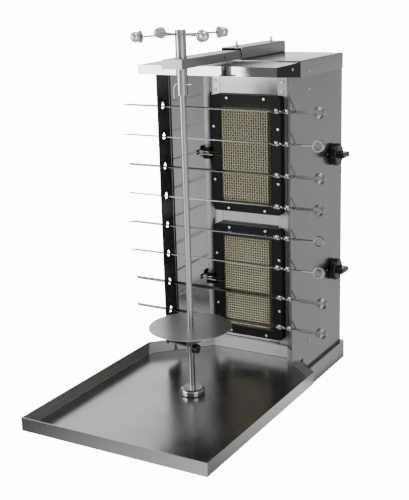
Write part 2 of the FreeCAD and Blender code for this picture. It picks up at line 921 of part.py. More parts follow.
def thumb_screw():
    """Lobed head with a round flange, on a short shank that presses on the rod."""
    start = (rod_radius + slide_gap, spindle_y, thumb_axis)
    shank = cylinder(start, (1, 0, 0), thumb_shank_radius, thumb_seat - rod_radius)
    start = (thumb_seat, spindle_y, thumb_axis)
    flange = cylinder(start, (1, 0, 0), thumb_flange_radius, thumb_flange_thickness)
    head_start = thumb_seat + thumb_flange_thickness
    start = (head_start, spindle_y, thumb_axis)
    head = cylinder(start, (1, 0, 0), thumb_head_radius, thumb_head_length)
    groove_at = thumb_head_radius + thumb_groove_out
    grooves = []
    for step in range(thumb_lobes):
        angle = 2 * math.pi * step / thumb_lobes
        y = spindle_y + groove_at * math.cos(angle)
        z = thumb_axis + groove_at * math.sin(angle)
        groove = cylinder((head_start, y, z), (1, 0, 0), thumb_groove_radius, thumb_head_length)
        grooves.append(groove)
    return shank.fuse([flange, head.cut(grooves)])


def burner_frame(burner):
    """Pressed black frame: a shallow pan with rounded corners and a window."""
    half_x = burner_width / 2
    half_z = burner_height / 2
    outer = box(-half_x, half_x, burner_front, wall_y, burner - half_z, burner + half_z)
    outer = round_edges(outer, burner_corner, runs_along("y"))
    outer = round_edges(outer, burner_sheet, lies_at("y", burner_front))
    room_x = half_x - burner_sheet
    room_z = half_z - burner_sheet
    room = box(-room_x, room_x, mesh_back, wall_y, burner - room_z, burner + room_z)
    room = round_edges(room, burner_corner - burner_sheet, runs_along("y"))
    window = box(
        -mesh_width / 2,
        mesh_width / 2,
        burner_front - 1,
        mesh_back + 1,
        burner - mesh_height / 2,
        burner + mesh_height / 2,
    )
    window = round_edges(window, mesh_rim, runs_along("y"))
    return outer.cut([room, window])


def mesh_level(burner, inset, y):
    """Rectangle at depth y, smaller than the window by inset on each side."""
    x = mesh_width / 2 - inset
    z = mesh_height / 2 - inset
    corners = [V(-x, y, burner - z), V(x, y, burner - z), V(x, y, burner + z), V(-x, y, burner + z)]
    return Part.makePolygon(corners + corners[:1])


def burner_mesh(burner):
    """Wire mesh as one thin sheet: a shallow tray that bulges through the window."""
    foot = mesh_back
    crown = burner_front - mesh_bulge
    outer = [mesh_level(burner, 1.0, foot), mesh_level(burner, 1.0 + mesh_slope, crown)]
    inner_foot = foot + mesh_sheet
    inner_crown = crown + mesh_sheet
    inset = 1.0 + mesh_sheet
    inner = [mesh_level(burner, inset, inner_foot), mesh_level(burner, inset + mesh_slope, inner_crown)]
    rim = box(
        -mesh_width / 2 - mesh_rim,
        mesh_width / 2 + mesh_rim,
        foot,
        foot + mesh_sheet,
        burner - mesh_height / 2 - mesh_rim,
        burner + mesh_height / 2 + mesh_rim,
    )
    shell = Part.makeLoft(outer, True, True).fuse(rim)
    return shell.cut(Part.makeLoft(inner, True, True)).removeSplitter()


def burner_tiles():
    """Ceramic tiles of both burners, stacked behind their mesh."""
    tiles = []
    height = (2 * plenum_z - 2 * burner_sheet) / tiles_per_burner
    half = plenum_x - burner_sheet
    for burner in (upper_burner, lower_burner):
        for row in range(tiles_per_burner):
            low = burner - plenum_z + burner_sheet + row * height + tile_joint / 2
            high = low + height - tile_joint
            tiles.append(box(-half, half, tile_front, tile_back, low, high))
    return Part.makeCompound(tiles)


def burner_housing(burner, tap_height):
    """Gas box behind the tiles, open to the front, with a hole for the mixing tube."""
    low = burner - plenum_z
    high = burner + plenum_z
    outer = box(-plenum_x, plenum_x, plenum_front, plenum_back, low, high)
    outer = round_edges(outer, plenum_corner, runs_along("y"))
    t = burner_sheet
    room = box(-plenum_x + t, plenum_x - t, plenum_front, plenum_back - t, low + t, high - t)
    room = round_edges(room, plenum_corner - t, runs_along("y"))
    start = (0, plenum_back - 2 * t, tap_height)
    hole = cylinder(start, (0, 1, 0), mixing_radius - mixing_wall, 3 * t)
    return outer.cut([room, hole])


def mixing_tube(tap_height):
    """Elbow tube from the gas box to its air intake, which flares like a bell."""
    points = [
        (0, plenum_back, tap_height),
        (0, mixing_y, tap_height),
        (mixing_reach, mixing_y, tap_height),
    ]
    tube = bent_rod(points, mixing_bend, mixing_radius)
    room = bent_rod(points, mixing_bend, mixing_radius - mixing_wall)
    t = mixing_wall
    profile = [
        (mixing_radius - t, 0),
        (mixing_radius, 0),
        (bell_radius, bell_length),
        (bell_radius - t, bell_length),
    ]
    bell = turned(profile, (mixing_reach, mixing_y, tap_height), (1, 0, 0))
    return tube.cut(room).fuse(bell)


def injectors():
    """Brass injectors in the mouths of the mixing tubes."""
    parts = []
    for height in (upper_tap_height, lower_tap_height):
        profile = [
            (0, 0),
            (injector_radius / 3, 0),
            (injector_radius, injector_length / 3),
            (injector_radius, injector_length),
            (0, injector_length),
        ]
        parts.append(turned(profile, (injector_start, mixing_y, height), (1, 0, 0)))
    return Part.makeCompound(parts)


def gas_pipes():
    """Short pipes from the taps to the injectors."""
    pipes = []
    for height in (upper_tap_height, lower_tap_height):
        points = [
            (injector_start + injector_length, mixing_y, height),
            (tap_mid, mixing_y, height),
            (tap_mid, tap_y - tap_boss_length, height),
        ]
        pipes.append(bent_rod(points, gas_pipe_bend, gas_pipe_radius))
    return Part.makeCompound(pipes)


def gas_tap(height):
    """Tap body behind the right panel, with bosses for its two pipes and a bore."""
    body = cylinder((tap_inner, tap_y, height), (1, 0, 0), tap_radius, tap_length)
    start = (tap_outer - tap_flange_thickness, tap_y, height)
    flange = cylinder(start, (1, 0, 0), tap_radius + 4, tap_flange_thickness)
    start = (tap_mid, tap_y - tap_boss_length, height)
    outlet = cylinder(start, (0, 1, 0), tap_boss_radius, tap_boss_length)
    start = (tap_mid, tap_y, height)
    inlet = cylinder(start, (0, 1, 0), tap_boss_radius, manifold_from_tap)
    start = (tap_outer - plunger_length, tap_y, height)
    bore = cylinder(start, (1, 0, 0), plunger_radius + running_gap, plunger_length)
    start = (tap_mid, manifold_y, height - 2 * tap_radius)
    saddle = cylinder(start, (0, 0, 1), manifold_radius + running_gap, 4 * tap_radius)
    return body.fuse([flange, outlet, inlet]).cut([bore, saddle])


def gas_manifold():
    """Upright supply pipe behind the taps that bends back to the inlet."""
    points = [
        (tap_mid, manifold_y, upper_tap_height + 2 * tap_radius),
        (tap_mid, manifold_y, inlet_height),
        (tap_mid, panel_back - panel_sheet - seam, inlet_height),
    ]
    return bent_rod(points, manifold_bend, manifold_radius)


def gas_inlet():
    """Hose nipple of the gas supply, through the rear panel."""
    collar = inlet_radius + 3
    start = -panel_sheet - seam
    profile = [(0, start), (inlet_radius, start), (inlet_radius, 0), (collar, 0), (collar, 6)]
    profile += [(inlet_radius, 6), (inlet_radius, inlet_length)]
    profile += [(inlet_radius - 2, inlet_length), (inlet_radius - 2, 6), (0, 6)]
    return turned(profile, (tap_mid, panel_back, inlet_height), (0, 1, 0))


def tap_plunger(height):
    """Spring-loaded brass sleeve of the tap, pushed in by the knob."""
    travel_room = plunger_length - knob_gap
    length = travel_room + panel_sheet / 2
    start = (tap_outer - travel_room, tap_y, height)
    outer = cylinder(start, (1, 0, 0), plunger_radius, length)
    bore = cylinder(start, (1, 0, 0), spindle_shaft_radius + running_gap, length)
    return outer.cut(bore)


def tap_spindle(height):
    """Round shaft of the tap with a flat where the knob grips it."""
    inner = tap_outer - plunger_length + knob_gap
    outer = knob_front
    shaft = cylinder((inner, tap_y, height), (1, 0, 0), spindle_shaft_radius, outer - inner)
    flat = box(
        knob_back,
        outer,
        tap_y - spindle_shaft_radius,
        tap_y + spindle_shaft_radius,
        height + spindle_shaft_radius / 2,
        height + 2 * spindle_shaft_radius,
    )
    return shaft.cut(flat)


def knob(height):
    """Round control knob with a rolled rim and a bar grip across its face."""
    disc = cylinder((knob_back, tap_y, height), (1, 0, 0), knob_radius, knob_disc)
    disc = round_edges(disc, knob_edge, lies_at("x", knob_front))
    half = knob_grip_length / 2
    half_z = knob_grip_thickness / 2
    grip_end = panel_x + knob_reach
    grip = box(knob_front - 1, grip_end, tap_y - half, tap_y + half, height - half_z, height + half_z)
    grip = round_edges(grip, knob_grip_corner, knob_grip_edge(half))
    grip = round_edges(grip, knob_edge / 2, lies_at("x", grip_end))
    return disc.fuse(grip).cut(tap_spindle(height))


def knob_grip_edge(half):
    def choose(edge):
        middle = edge.CenterOfMass
        return runs_along("x")(edge) and abs(abs(middle.y - tap_y) - half) < 1e-3
    return choose


def igniter_brackets():
    """Black angle plates on the burners' left sides, slotted to carry the ignition sets."""
    brackets = []
    edge = -burner_width / 2
    front = probe_y - igniter_thickness / 2
    path = [(edge, wall_y - igniter_thickness), (edge, front), (edge - igniter_plate, front)]
    outline = folded_outline(path, igniter_thickness)
    for burner in (upper_burner, lower_burner):
        low = burner - igniter_height / 2
        plate = prism(outline, "z", low, low + igniter_height)
        plate = round_edges(plate, igniter_height / 7, bracket_corner(edge - igniter_plate))
        slot = box(
            edge - igniter_plate - 1,
            edge + 1,
            front - 1,
            front + igniter_slot_depth,
            burner + probe_offset() - probe_radius - slide_gap,
            burner + electrode_offset() + electrode_radius + slide_gap,
        )
        brackets.append(plate.cut(slot))
    return Part.makeCompound(brackets)


def bracket_corner(x):
    def choose(edge):
        return runs_along("y")(edge) and abs(edge.CenterOfMass.x - x) < 1e-3
    return choose


def wing_face_x(y):
    """How far left the slanted wing's face is at that depth."""
    return -(ear_back + inner_x - y)


def ignition_bead(height):
    """Sleeved lead from the wing with a bead that bears on the bracket's ears."""
    start_x = wing_face_x(probe_y) - panel_sheet
    bead_end = -burner_width / 2 - igniter_plate
    bead_start = bead_end - bead_length
    lead = cylinder((start_x, probe_y, height), (1, 0, 0), lead_radius, bead_start - start_x)
    bead = cylinder((bead_start, probe_y, height), (1, 0, 0), bead_radius, bead_length)
    return lead.fuse(bead)


def thermocouples():
    """Flame sensors: a brass tube on the bracket with a thinner tip over the mesh."""
    parts = []
    bead_end = -burner_width / 2 - igniter_plate
    tube_end = -burner_width / 2 + probe_tip_reach
    tip_end = -mesh_width / 2 + probe_tip_reach
    for burner in (upper_burner, lower_burner):
        height = burner + probe_offset()
        tube = cylinder((bead_end, probe_y, height), (1, 0, 0), probe_radius, tube_end - bead_end)
        tip = cylinder((tube_end, probe_y, height), (1, 0, 0), probe_tip_radius, tip_end - tube_end)
        parts.append(ignition_bead(height).fuse([tube, tip]))
    return Part.makeCompound(parts)


def spark_electrodes():
    """Spark plugs beside the sensors, each with its wire bent towards the mesh."""
    parts = []
    bead_end = -burner_width / 2 - igniter_plate
    rod_end = -burner_width / 2 - lead_radius
    tip_x = -mesh_width / 2 + lead_radius
    for burner in (upper_burner, lower_burner):
        height = burner + electrode_offset()
        rod = cylinder((bead_end, probe_y, height), (1, 0, 0), electrode_radius, rod_end - bead_end)
        points = [
            (rod_end, probe_y, height),
            (tip_x - 2 * lead_radius, probe_y, height),
            (tip_x, probe_y, height + electrode_wire_rise),
        ]
        wire = bent_rod(points, 2 * electrode_wire_radius, electrode_wire_radius)
        parts.append(ignition_bead(height).fuse([rod, wire]))
    return Part.makeCompound(parts)


def twisted_strip():
    """Blade section turned in even steps about the skewer's own axis."""
    levels = []
    for step in range(twist_steps + 1):
        x = twist_start_x + (twist_end_x - twist_start_x) * step / twist_steps
        angle = math.radians(twist_turn * step / twist_steps)
        corners = []
        for y, z in ((-1, -1), (1, -1), (1, 1), (-1, 1)):
            y = y * blade_width / 2
            z = z * blade_thickness / 2
            turned_y = y * math.cos(angle) - z * math.sin(angle)
            turned_z = y * math.sin(angle) + z * math.cos(angle)
            corners.append(V(x, turned_y, turned_z))
        levels.append(Part.makePolygon(corners + corners[:1]))
    return Part.makeLoft(levels, True, True)


def skewer_handle():
    """Flat handle strip that ends in an eye rolled from the same strip."""
    half = handle_width / 2
    half_z = handle_thickness / 2
    strip = box(neck_end_x, handle_end_x, -half, half, -half_z, half_z)
    start = (ring_centre_x, -half, 0)
    ring = cylinder(start, (0, 1, 0), ring_radius, handle_width)
    hole = cylinder(start, (0, 1, 0), ring_radius - ring_wall, handle_width)
    return strip.fuse(ring).cut(hole)


def skewer(index):
    """Pointed flat blade, twisted shank, round neck, flat handle and a rolled eye."""
    half = skewer_points_down[index] * blade_width / 2
    thick = blade_thickness / 2
    outline = [
        (blade_tip_x, -half),
        (twist_start_x, -half),
        (twist_start_x, half),
        (blade_tip_x + blade_point, half),
    ]
    blade = prism(outline, "z", -thick, thick)
    neck = cylinder((twist_end_x, 0, 0), (1, 0, 0), neck_radius, neck_end_x - twist_end_x)
    handle = skewer_handle()
    handle.rotate(V(0, 0, 0), V(1, 0, 0), skewer_handle_turns[index])
    body = blade.fuse([twisted_strip(), neck, handle])
    turn = FreeCAD.Rotation(V(1, 0, 0), skewer_rolls[index])
    height = skewer_heights()[index]
    body.Placement = FreeCAD.Placement(V(skewer_shifts[index], skewer_y, height), turn)
    return body


def cabinet_screws():
    """Screw heads on the panels, the cover's skirt, the hood's cheeks and the plinth."""
    heads = []
    for side in (-1, 1):
        outward = (side, 0, 0)
        flange_end = ear_back + wing_root_flange
        flange_y = flange_end - panel_screw_inset
        low = ear_bottom + panel_screw_low
        high = skirt_bottom - panel_screw_high
        for height in (low, (low + high) / 2 + panel_screw_shift, high):
            heads.append(screw_head((side * panel_x, flange_y, height), outward))
        skirt_z = cabinet_top - skirt_screw_drop
        heads.append(screw_head((side * cover_x, flange_end - skirt_screw_inset, skirt_z), outward))
        cheek_z = hood_under(panel_front) - hood_lip / 2
        cheek_y = panel_front + cheek_screw_inset
        heads.append(screw_head((side * cover_x, cheek_y, cheek_z), outward))
        plinth_z = deck_height - 2 * screw_radius
        plinth_y = panel_back - plinth_screw_inset
        heads.append(screw_head((side * plinth_width / 2, plinth_y, plinth_z), outward))
        for drop in wall_screw_drops:
            place = (side * (wall_x - wing_flange / 2), wall_y, skirt_bottom - drop)
            heads.append(screw_head(place, (0, -1, 0)))
    return Part.makeCompound(heads)


def burner_screws():
    """Eight screw heads round each burner frame."""
    heads = []
    side_x = burner_width / 2 - burner_screw_inset
    end_z = burner_height / 2 - burner_screw_inset
    places = []
    for x in (-side_x, side_x):
        for z in (-burner_screw_rise, burner_screw_rise):
            places.append((x, z))
    for x in (-burner_screw_run, burner_screw_run):
        for z in (-end_z, end_z):
            places.append((x, z))
    for burner in (upper_burner, lower_burner):
        for x, z in places:
            heads.append(screw_head((x, burner_front, burner + z), (0, -1, 0)))
    return Part.makeCompound(heads)


def build_all():
    front_clamp, rear_clamp = clamp_places()
    parts = {
        "base_plinth": base_plinth(),
        "rubber_feet": rubber_feet(),
        "left_side_panel": left_side_panel(),
        "right_side_panel": right_side_panel(),
        "rear_panel": rear_panel(),
        "left_wing": wing(-1),
        "right_wing": wing(1),
        "burner_back_plate": burner_back_plate(),
        "top_cover": top_cover(),
        "hood": hood(),
        "arm_socket": arm_socket(),
        "upper_burner_frame": burner_frame(upper_burner),
        "lower_burner_frame": burner_frame(lower_burner),
        "upper_burner_mesh": burner_mesh(upper_burner),
        "lower_burner_mesh": burner_mesh(lower_burner),
        "burner_tiles": burner_tiles(),
        "upper_burner_housing": burner_housing(upper_burner, upper_tap_height),
        "lower_burner_housing": burner_housing(lower_burner, lower_tap_height),
        "upper_mixing_tube": mixing_tube(upper_tap_height),
        "lower_mixing_tube": mixing_tube(lower_tap_height),
        "injectors": injectors(),
        "gas_pipes": gas_pipes(),
        "upper_gas_tap": gas_tap(upper_tap_height),
        "lower_gas_tap": gas_tap(lower_tap_height),
        "gas_manifold": gas_manifold(),
        "gas_inlet": gas_inlet(),
        "igniter_brackets": igniter_brackets(),
        "thermocouples": thermocouples(),
        "spark_electrodes": spark_electrodes(),
        "cabinet_screws": cabinet_screws(),
        "burner_screws": burner_screws(),
        "drip_tray": drip_tray(),
        "arm_tube": arm_tube(),
        "spindle_bush": spindle_bush(),
        "foot_puck": foot_puck(),
        "front_clamp_bolt": clamp_bolt(front_clamp),
        "rear_clamp_bolt": clamp_bolt(rear_clamp),
        "spindle_sleeve": spindle_sleeve(),
        "spindle_rod": spindle_rod(),
        "star_handle": star_handle(),
        "star_knobs": star_knobs(),
        "locking_pin": locking_pin(),
        "meat_plate": meat_plate(),
        "plate_collar": plate_collar(),
        "plate_bracket": Part.makeCompound([plate_bracket(), bracket_bolt()]),
        "thumb_screw": thumb_screw(),
        "upper_tap_plunger": tap_plunger(upper_tap_height),
        "lower_tap_plunger": tap_plunger(lower_tap_height),
        "upper_tap_spindle": tap_spindle(upper_tap_height),
        "lower_tap_spindle": tap_spindle(lower_tap_height),
        "upper_knob": knob(upper_tap_height),
        "lower_knob": knob(lower_tap_height),
    }
    for index in range(skewer_count):
        parts[f"skewer_{index + 1}"] = skewer(index)
    return parts


os.makedirs("parts", exist_ok=True)
for name, shape in build_all().items():
    good = shape.isValid() and all(solid.isClosed() for solid in shape.Solids)
    print(f"{name}: {len(shape.Solids)} solid(s), valid {good}, volume {shape.Volume:.0f} mm3")
    shape.exportStep(f"parts/{name}.step")
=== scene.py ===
# %% [markdown]
# A worktop gas grill for a doner cone. Its construction comes packed as a fixed frame of
# separate steel parts. This lesson gives those parts their finishes, models what is too
# fine for the construction drawing, and sets up a plain studio. All lengths are metres
# unless a name ends in _mm.

import math

import bpy
from mathutils import Matrix, Vector


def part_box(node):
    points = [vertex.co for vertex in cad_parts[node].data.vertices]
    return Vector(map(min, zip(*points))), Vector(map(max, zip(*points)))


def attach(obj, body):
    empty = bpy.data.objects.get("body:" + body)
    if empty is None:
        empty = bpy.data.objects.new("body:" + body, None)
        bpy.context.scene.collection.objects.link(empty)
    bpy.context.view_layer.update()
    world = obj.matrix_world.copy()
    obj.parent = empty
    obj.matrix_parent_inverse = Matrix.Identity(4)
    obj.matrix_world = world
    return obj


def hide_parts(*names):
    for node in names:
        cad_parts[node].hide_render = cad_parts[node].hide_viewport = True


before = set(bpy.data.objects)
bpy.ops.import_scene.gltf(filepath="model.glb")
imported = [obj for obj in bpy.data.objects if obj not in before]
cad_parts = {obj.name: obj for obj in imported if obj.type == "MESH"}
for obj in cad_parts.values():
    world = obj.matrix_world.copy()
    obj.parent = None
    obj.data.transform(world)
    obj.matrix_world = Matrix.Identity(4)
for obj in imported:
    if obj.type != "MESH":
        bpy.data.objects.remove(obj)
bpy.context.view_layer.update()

# %% [markdown]
# A picture of a product is taken from where a customer stands. The camera's place, its
# turn and its focal length below give the view of the studio picture: 30 degrees round
# to the right of the front and 15 degrees above the worktop.

# %% Camera
camera_place = Vector((1.1013, -1.9387, 0.9806))
camera_azimuth = math.radians(30.28)
camera_elevation = math.radians(15.45)
camera_roll = math.radians(-1.707)
focal_pixels = 987.5
picture_height_pixels = 500
sensor_mm = 36
clip_distance = 1000

sight = Vector(
    (
        -math.sin(camera_azimuth) * math.cos(camera_elevation),
        math.cos(camera_azimuth) * math.cos(camera_elevation),
        -math.sin(camera_elevation),
    )
)
level = Vector((math.cos(camera_azimuth), math.sin(camera_azimuth), 0))
upward = level.cross(sight)
camera_x = level * math.cos(camera_roll) + upward * math.sin(camera_roll)
camera_y = upward * math.cos(camera_roll) - level * math.sin(camera_roll)
camera_turn = Matrix((camera_x, camera_y, -sight)).transposed().to_4x4()

bpy.ops.object.camera_add()
camera = bpy.context.object
camera.name = "camera"
camera.matrix_world = Matrix.Translation(camera_place) @ camera_turn
camera.data.sensor_width = sensor_mm
camera.data.lens = focal_pixels / picture_height_pixels * sensor_mm
camera.data.clip_end = clip_distance
bpy.context.scene.camera = camera
print("camera lens", round(camera.data.lens, 2), "mm")

# %% [markdown]
# Brushed steel shows what stands around it, so the studio matters as much as the metal.
# The floor is white paper that glows, as it does under strong studio lamps, so that it
# stays pale while the steel stays grey. Above the floor's far edge the camera sees an
# equally white backdrop, but the steel is lit by a sky that is much dimmer.

# %% Floor and sky
floor_width = 1200
paper_glow = 14.0
sky_glow = 0.34
white = (1, 1, 1, 1)


def add_panel(name, centre, width, height, facing):
    """A flat studio panel of that size that looks towards a point."""
    bpy.ops.object.select_all(action="DESELECT")
    bpy.ops.mesh.primitive_plane_add(size=1)
    panel = bpy.context.object
    panel.name = name
    way = Vector(facing) - Vector(centre)
    panel.scale = (width, height, 1)
    panel.rotation_euler = way.to_track_quat("Z", "Y").to_euler()
    panel.location = centre
    bpy.ops.object.transform_apply(location=True, rotation=True, scale=True)
    return panel


floor = add_panel("studio_floor", (0, 0, 0), floor_width, floor_width, (0, 0, 1))
floor.visible_glossy = False
floor.visible_diffuse = False

world = bpy.data.worlds.new("soft_studio")
world.use_nodes = True
world_nodes = world.node_tree.nodes
world_links = world.node_tree.links
sky = world_nodes["Background"]
sky.inputs["Color"].default_value = white
sky.inputs["Strength"].default_value = sky_glow
backdrop = world_nodes.new("ShaderNodeBackground")
backdrop.inputs["Color"].default_value = white
backdrop.inputs["Strength"].default_value = paper_glow
ray_kind = world_nodes.new("ShaderNodeLightPath")
sky_choice = world_nodes.new("ShaderNodeMixShader")
world_links.new(ray_kind.outputs["Is Camera Ray"], sky_choice.inputs[0])
world_links.new(sky.outputs["Background"], sky_choice.inputs[1])
world_links.new(backdrop.outputs["Background"], sky_choice.inputs[2])
world_links.new(sky_choice.outputs["Shader"], world_nodes["World Output"].inputs["Surface"])
bpy.context.scene.world = world
print("floor", floor_width, "m wide, sky", sky_glow)

# %% [markdown]
# Four soft boxes light the grill: two in front on the left, one above the other, one
# high on the left and one overhead.


# %% Lamps
def add_lamp(name, place, aim, width, height, brightness):
    """A soft box. Its power follows from its size and from how bright its cloth looks."""
    bpy.ops.object.light_add(type="AREA", location=place)
    lamp = bpy.context.object
    lamp.name = name
    lamp.data.shape = "RECTANGLE"
    lamp.data.size = width
    lamp.data.size_y = height
    lamp.data.energy = brightness * math.pi * width * height
    way = Vector(aim) - Vector(place)
    lamp.rotation_euler = way.to_track_quat("-Z", "Y").to_euler()
    lamp.visible_camera = False


add_lamp("front_softbox", (-2.04, -1.95, 1.02), (-2.04, 0, 1.02), 2.24, 1.0, 8.0)
add_lamp("low_softbox", (-2.19, -1.95, 0.27), (-2.19, 0, 0.27), 2.24, 0.5, 4.5)
add_lamp("left_softbox", (-2.9, -0.9, 2.0), (0, 0, 0.5), 1.2, 1.4, 4.0)
add_lamp("top_softbox", (0.3, -0.2, 3.4), (0, 0, 0.4), 2.2, 2.2, 3.5)

# %% [markdown]
# A photographer of steel also sets up sheets of paper that only show as reflections:
# some lie on the floor round the grill, from nearly black to white, and others stand
# behind it and beside it. Each glows evenly or with a slow change, and neither the
# camera nor any matt surface sees it.

# %% Paper that the steel mirrors
lowest_level = -0.004
paper_level = -0.002
floor_level = 0.0


def glow(name, near, far=None, axis=0, start=0.0, end=1.0):
    """Emission of one strength, or one that changes along an axis from start to end."""
    material = bpy.data.materials.new(name)
    material.use_nodes = True
    tree = material.node_tree
    tree.nodes.clear()
    light = tree.nodes.new("ShaderNodeEmission")
    light.inputs["Strength"].default_value = near
    if far is not None:
        place = tree.nodes.new("ShaderNodeTexCoord")
        parts = tree.nodes.new("ShaderNodeSeparateXYZ")
        ramp = tree.nodes.new("ShaderNodeMapRange")
        ramp.inputs["From Min"].default_value = start
        ramp.inputs["From Max"].default_value = end
        ramp.inputs["To Min"].default_value = near
        ramp.inputs["To Max"].default_value = far
        tree.links.new(place.outputs["Object"], parts.inputs["Vector"])
        tree.links.new(parts.outputs[axis], ramp.inputs["Value"])
        tree.links.new(ramp.outputs["Result"], light.inputs["Strength"])
    output = tree.nodes.new("ShaderNodeOutputMaterial")
    tree.links.new(light.outputs["Emission"], output.inputs["Surface"])
    material.cycles.emission_sampling = "NONE"
    return material


def add_card(name, centre, width, height, facing, glowing):
    """A glowing panel that only mirrors see."""
    card = add_panel(name, centre, width, height, facing)
    card.data.materials.append(glowing)
    card.visible_camera = False
    card.visible_diffuse = False
    card.visible_shadow = False


def floor_card(name, low, high, height, glowing):
    """A card that lies on the floor between two corners."""
    centre = ((low[0] + high[0]) / 2, (low[1] + high[1]) / 2, height)
    above = (centre[0], centre[1], height + 1)
    add_card(name, centre, high[0] - low[0], high[1] - low[1], above, glowing)


grey_glow = glow("paper_grey_lit", 0.45)
floor_card("grey_paper", (-15, -15), (15, 15), lowest_level, grey_glow)
side_glow = glow("paper_side_lit", 1.5, far=1.0, axis=0, start=1.5, end=5.0)
floor_card("paper_front_right", (0.32, -6.0), (7.0, -0.25), paper_level, side_glow)
rear_glow = glow("paper_rear_lit", 0.85)
floor_card("paper_rear_right", (0.2, 0.16), (7.0, 13.0), paper_level, rear_glow)
left_glow = glow("paper_left_lit", 2.2)
floor_card("paper_front_left", (-1.5, -1.9), (-0.36, -0.75), paper_level, left_glow)
far_glow = glow("paper_far_lit", 0.25)
floor_card("paper_far_front", (-4.6, -13.0), (0.3, -3.0), paper_level, far_glow)
front_glow = glow("paper_front_lit", 0.3, far=2.2, axis=0, start=-0.32, end=0.18)
floor_card("paper_before_tray", (-0.36, -0.75), (0.3, -0.47), paper_level, front_glow)
right_glow = glow("paper_right_lit", 0.5, far=1.9, axis=1, start=-0.36, end=0.12)
floor_card("paper_beside_tray", (0.24, -0.46), (0.4, 0.16), floor_level, right_glow)
tall_glow = glow("card_left_lit", 2.1)
add_card("tall_card", (-2.35, 2.85, 1.75), 2.5, 1.9, (0, -0.15, 0.1), tall_glow)
low_glow = glow("card_rear_lit", 2.3)
add_card("low_card", (-1.4, 3.96, 1.13), 1.1, 0.9, (0, 0.15, 0.8), low_glow)
fill_glow = glow("card_fill_lit", 3.2)
add_card("fill_card", (2.57, -1.55, 1.25), 1.7, 1.5, (0, 0, 0.2), fill_glow)
side_card_glow = glow("card_right_lit", 0.48)
add_card("side_card", (2.0, 3.9, 1.1), 2.2, 1.2, (0, 0, 0.8), side_card_glow)

# %% [markdown]
# Every finish below is a node tree. One helper adds a node, sets its values and joins
# its inputs, and another turns the hex codes of a colour chart into the linear numbers
# that the renderer works in. Noise gives each finish its grain: its middle part is
# stretched over the range of tones or of gloss that the finish has.


# %% Helpers for materials
def linear(code):
    """The linear colour that a hex code stands for, with full opacity."""
    colour = []
    for start in (1, 3, 5):
        share = int(code[start : start + 2], 16) / 255
        dark = share <= 0.04045
        colour.append(share / 12.92 if dark else ((share + 0.055) / 1.055) ** 2.4)
    return (*colour, 1)


def add_node(tree, kind, settings=None, links=None):
    """A node with its values set and its inputs joined, both by name."""
    node = tree.nodes.new(kind)
    for name, value in (settings or {}).items():
        if name in node.inputs.keys():
            node.inputs[name].default_value = value
        else:
            setattr(node, name, value)
    for name, source in (links or {}).items():
        tree.links.new(source, node.inputs[name])
    return node


def new_material(name):
    """An empty material, its tree, and the object's coordinates in that tree."""
    material = bpy.data.materials.new(name)
    material.use_nodes = True
    tree = material.node_tree
    tree.nodes.clear()
    return material, tree, add_node(tree, "ShaderNodeTexCoord").outputs["Object"]


def noise(tree, place, scale, detail, roughness=0.5):
    settings = {"Scale": scale, "Detail": detail, "Roughness": roughness}
    return add_node(tree, "ShaderNodeTexNoise", settings, {"Vector": place}).outputs["Fac"]


def ranged(tree, pattern, low, high, reach=0.2):
    """The middle of a noise, within reach of one half, as values from low to high."""
    settings = {
        "From Min": 0.5 - reach,
        "From Max": 0.5 + reach,
        "To Min": low,
        "To Max": high,
    }
    return add_node(tree, "ShaderNodeMapRange", settings, {"Value": pattern}).outputs["Result"]


def relief_normal(tree, pattern, strength, depth):
    settings = {"Strength": strength, "Distance": depth}
    return add_node(tree, "ShaderNodeBump", settings, {"Height": pattern}).outputs["Normal"]


def add_surface(tree, settings, links):
    surface = add_node(tree, "ShaderNodeBsdfPrincipled", settings, links)
    add_node(tree, "ShaderNodeOutputMaterial", None, {"Surface": surface.outputs["BSDF"]})


def dress(material, *names):
    """One finish all over each of the named parts."""
    for name in names:
        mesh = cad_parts[name].data
        mesh.materials.clear()
        mesh.materials.append(material)


def dress_where(material, name, chosen):
    """A second finish on those faces whose centre and normal pass the test."""
    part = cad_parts[name]
    part.data.materials.append(material)
    for face in part.data.polygons:
        if chosen(part.matrix_world @ face.center, face.normal):
            face.material_index = len(part.data.materials) - 1


print("parts to dress", len(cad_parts))

# %% [markdown]
# Sheet stainless steel is ground with a belt before it is folded, which leaves fine
# parallel lines. They catch the light across their run and blur what the sheet mirrors.
# The lines are noise that is stretched ninety times along the belt's way, and broader
# bands of the same kind lie under them. Real lines lie 0.1 mm apart, too fine to show
# here, so they are drawn about 1 mm apart.

# %% Brushed stainless sheet
line_mm = 1.0
run_mm = 90.0
lines_per_band = 14
line_tones = (0.94, 1.06)
band_tones = (0.97, 1.03)
line_relief = 0.05
line_depth = 0.0002
clouds_per_metre = 9.0
cloud_reach = 0.15
gloss_below = 0.03
gloss_above = 0.04


